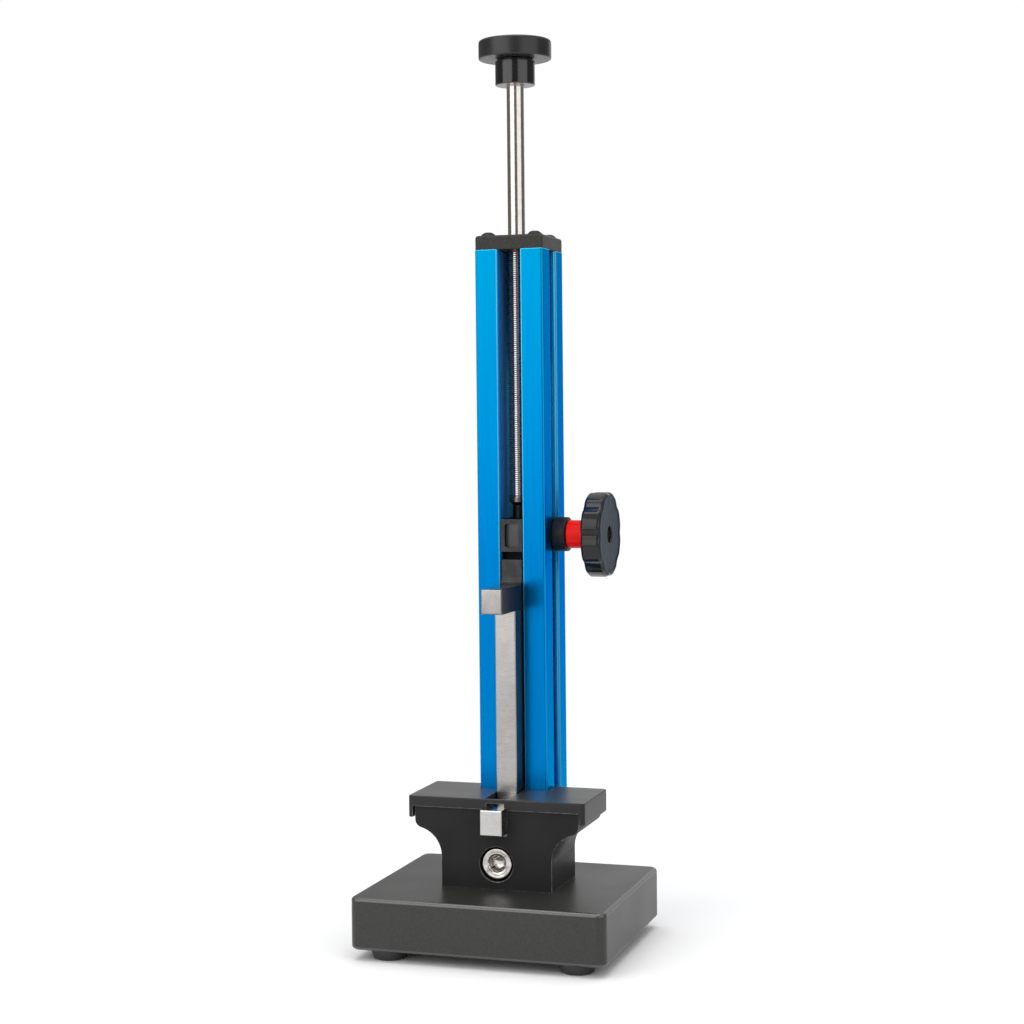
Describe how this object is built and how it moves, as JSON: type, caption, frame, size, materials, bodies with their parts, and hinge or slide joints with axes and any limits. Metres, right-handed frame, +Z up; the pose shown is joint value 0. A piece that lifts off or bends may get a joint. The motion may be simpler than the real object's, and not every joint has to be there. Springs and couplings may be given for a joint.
{
  "type": "bore gauge setter",
  "caption": "Bench stand with a slotted upright column: a spring-loaded carriage presses an upper jaw on a gauge block above a fixed lower jaw, so that a bore gauge can be set between the jaws.",
  "frame": {"origin": "middle of the base plate, on the surface that the rubber feet stand on", "axes": "+Z is up along the column, +X is to the right, towards the lock knob, and +Y is to the back; the jaws point to the front, along -Y"},
  "size_m": [0.108, 0.09, 0.381],
  "materials": {
    "base_paint": "dark grey powder coat with a fine texture",
    "rubber": "moulded black rubber",
    "black_anodised": "satin black anodised aluminium",
    "blue_anodised": "satin blue anodised aluminium",
    "dark_steel": "black oxide steel",
    "bright_steel": "plain bright steel",
    "ground_steel": "finely ground hardened steel",
    "polished_steel": "polished shaft steel",
    "spring_steel": "drawn spring wire",
    "bronze": "plain turned bronze",
    "black_plastic": "moulded black plastic",
    "red_plastic": "turned glossy red plastic",
    "slide_plastic": "plain sliding plastic"
  },
  "bodies": {
    "stand": {"base_plate": "base_paint", "rubber_feet": "rubber", "foot_screws": "dark_steel", "pedestal": "black_anodised", "pedestal_screws": "dark_steel", "column": "blue_anodised", "column_screws": "dark_steel", "clamp_screw": "bright_steel", "clamp_nut": "dark_steel", "table_plate": "black_anodised", "table_screws": "dark_steel", "lower_jaw": "ground_steel", "jaw_set_screws": "dark_steel", "gauge_block": "ground_steel", "top_cap": "base_paint", "cap_screws": "bright_steel", "rod_bush": "bronze", "lift_spring": "spring_steel"},
    "carriage": {"carriage": "dark_steel", "back_pad": "slide_plastic", "carriage_shoe": "dark_steel", "upper_jaw": "ground_steel", "upper_jaw_screw": "dark_steel", "upper_jaw_pins": "bright_steel", "side_key": "dark_steel", "lock_stud": "bright_steel", "lock_collar": "dark_steel", "lock_spacer": "red_plastic", "lift_rod": "polished_steel", "spring_seat": "dark_steel", "lift_knob": "black_plastic", "lift_knob_insert": "bronze"},
    "lock_knob": {"lock_knob": "black_plastic", "lock_knob_insert": "bronze"}
  },
  "joints": [
    {"name": "jaw_lift", "type": "slide", "parent": "stand", "child": "carriage", "axis": [0, 0, 1], "range_m": [0, 0.06], "stiffness_N_per_m": 80, "springref_m": -0.05, "deforming": ["lift_spring"]},
    {"name": "lock_turn", "type": "hinge", "parent": "carriage", "child": "lock_knob", "pos_m": [0.035, 0.0235, 0.1711], "axis": [1, 0, 0], "range_deg": [0, 180]}
  ]
}
